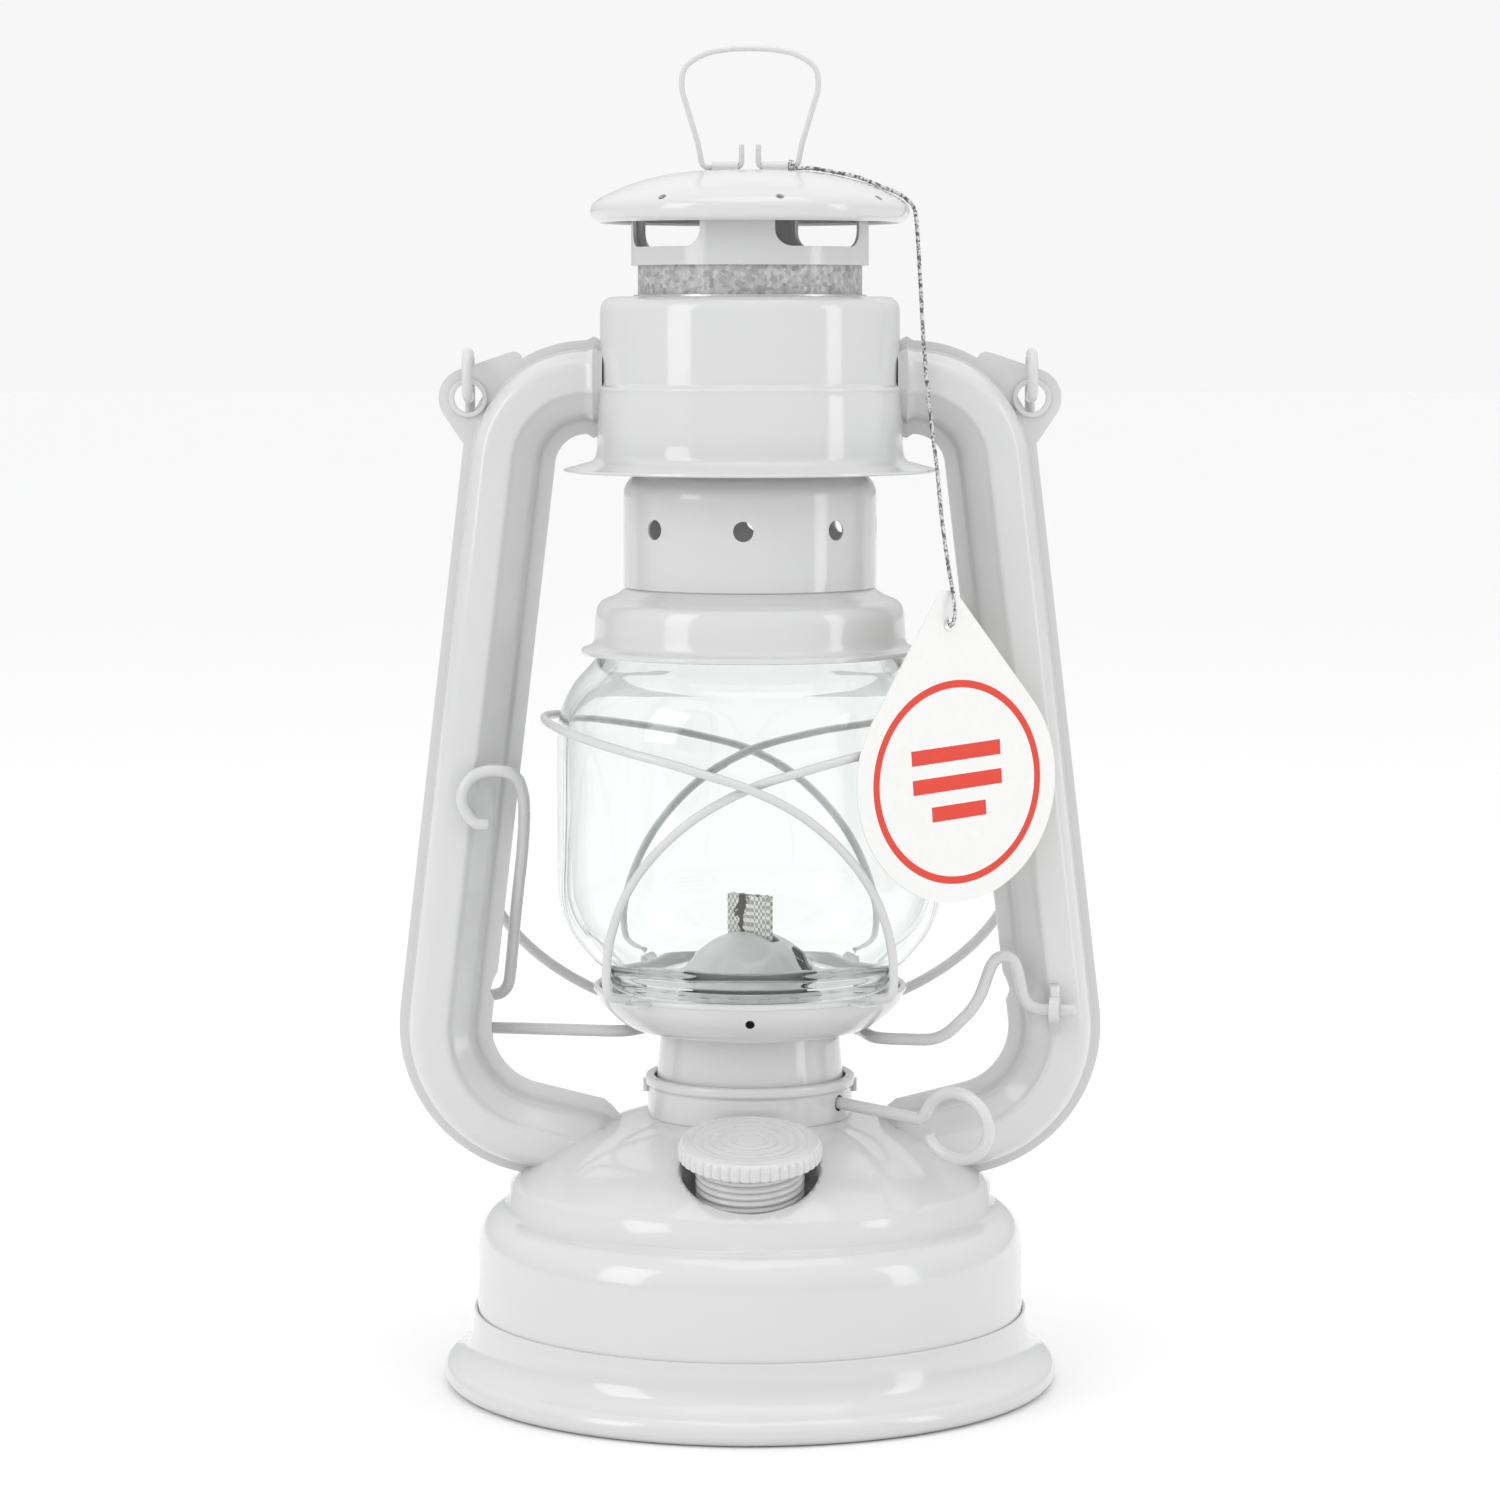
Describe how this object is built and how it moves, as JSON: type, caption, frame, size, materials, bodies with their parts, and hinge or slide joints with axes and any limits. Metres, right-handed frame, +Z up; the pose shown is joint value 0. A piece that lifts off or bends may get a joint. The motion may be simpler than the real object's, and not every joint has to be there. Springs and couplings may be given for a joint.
{
  "type": "oil lamp",
  "caption": "White painted tubular hurricane lantern with a glass globe, guard wires, lift lever, wick burner, filler cap and carrying bail.",
  "frame": {"origin": "on the floor under the axis of the lamp, at the centre of the bounding box's bottom face", "axes": "+X to the right of the lamp seen from the filler side, +Y to the back, +Z up along the chimney"},
  "size_m": [0.1526, 0.1338, 0.2891],
  "materials": {
    "painted_steel": "gloss white enamel paint on pressed steel",
    "painted_wire": "gloss white paint on steel wire",
    "galvanised_steel": "raw, mottled galvanised sheet",
    "burner_steel": "plain tinned steel, slightly dulled",
    "wheel_brass": "stamped brass",
    "wick_cotton": "woven flat cotton wick",
    "gasket_rubber": "soft black gasket",
    "globe_glass": "clear blown glass",
    "silver_string": "silver and grey twisted cord",
    "tag_card": "white printed card with a plain red border",
    "tag_metal": "small bright eyelet"
  },
  "bodies": {
    "lantern": {"tank_shell": "painted_steel", "foot_ring": "painted_steel", "tank_bottom": "galvanised_steel", "fuel_plate": "galvanised_steel", "filler_neck": "painted_steel", "burner_collar": "painted_steel", "burner_base": "burner_steel", "burner_barrel": "painted_steel", "wick_tube": "burner_steel", "burner_dome": "painted_steel", "left_tube_front": "painted_steel", "left_tube_back": "painted_steel", "right_tube_front": "painted_steel", "right_tube_back": "painted_steel", "bail_eyelets": "painted_steel", "lever_lugs": "painted_steel", "air_chamber": "painted_steel", "chamber_floor": "galvanised_steel", "chimney_guide": "galvanised_steel"},
    "lever": {"lift_lever": "painted_wire"},
    "carriage": {"globe_plate": "painted_steel", "globe_deck": "painted_steel", "globe_skirt": "painted_steel", "guard_wire_left": "painted_wire", "guard_wire_right": "painted_wire", "globe": "globe_glass"},
    "chimney_set": {"hood": "painted_steel", "chimney": "painted_steel", "neck_tube": "galvanised_steel", "cap_cage": "painted_steel", "vent_cap": "painted_steel", "ring_straps": "painted_steel", "string_knot": "silver_string", "tag_string": "silver_string", "tag": "tag_card", "tag_eyelet": "tag_metal"},
    "ring": {"lifting_ring": "painted_wire"},
    "bail": {"bail": "painted_wire"},
    "wick_drive": {"wick_shaft": "painted_wire", "spur_wheels": "wheel_brass"},
    "wick": {"wick": "wick_cotton"},
    "filler_gasket": {"filler_gasket": "gasket_rubber"},
    "filler_cap": {"filler_cap": "painted_steel"}
  },
  "joints": [
    {"name": "lever_turn", "type": "hinge", "parent": "lantern", "child": "lever", "pos_m": [0, 0, 0.0828], "axis": [0.9837, -0.1797, 0], "range_deg": [0, 45]},
    {"name": "globe_lift", "type": "slide", "parent": "lantern", "child": "carriage", "axis": [0, 0, 1], "range_m": [0, 0.0191]},
    {"name": "hood_lift", "type": "slide", "parent": "carriage", "child": "chimney_set", "axis": [0, 0, 1], "range_m": [0, 0.006]},
    {"name": "ring_fold", "type": "hinge", "parent": "chimney_set", "child": "ring", "pos_m": [0, 0, 0.2633], "axis": [1, 0, 0], "range_deg": [-65, 65]},
    {"name": "bail_swing", "type": "hinge", "parent": "lantern", "child": "bail", "pos_m": [0, 0, 0.2188], "axis": [1, 0, 0], "range_deg": [0, 265]},
    {"name": "wick_turn", "type": "hinge", "parent": "lantern", "child": "wick_drive", "pos_m": [0.01946, -0.0115, 0.0624], "axis": [0.7653, -0.6422, -0.0436], "range_deg": [-240, 60]},
    {"name": "wick_feed", "type": "slide", "parent": "lantern", "child": "wick", "axis": [0, 0, 1], "range_m": [-0.01257, 0.00314]},
    {"name": "cap_turn", "type": "hinge", "parent": "filler_gasket", "child": "filler_cap", "pos_m": [0, -0.0386, 0.0595], "axis": [0, -0.1994, 0.9799], "range_deg": [0, 720]},
    {"name": "cap_rise", "type": "slide", "parent": "lantern", "child": "filler_gasket", "axis": [0, -0.1994, 0.9799], "range_m": [0, 0.006]}
  ],
  "couplings": [
    {"joint": "lever_turn", "follows": "globe_lift", "rad_per_m": 41.12},
    {"joint": "wick_turn", "follows": "wick_feed", "rad_per_m": 333.33},
    {"joint": "cap_rise", "follows": "cap_turn", "m_per_rad": 0.00047}
  ]
}
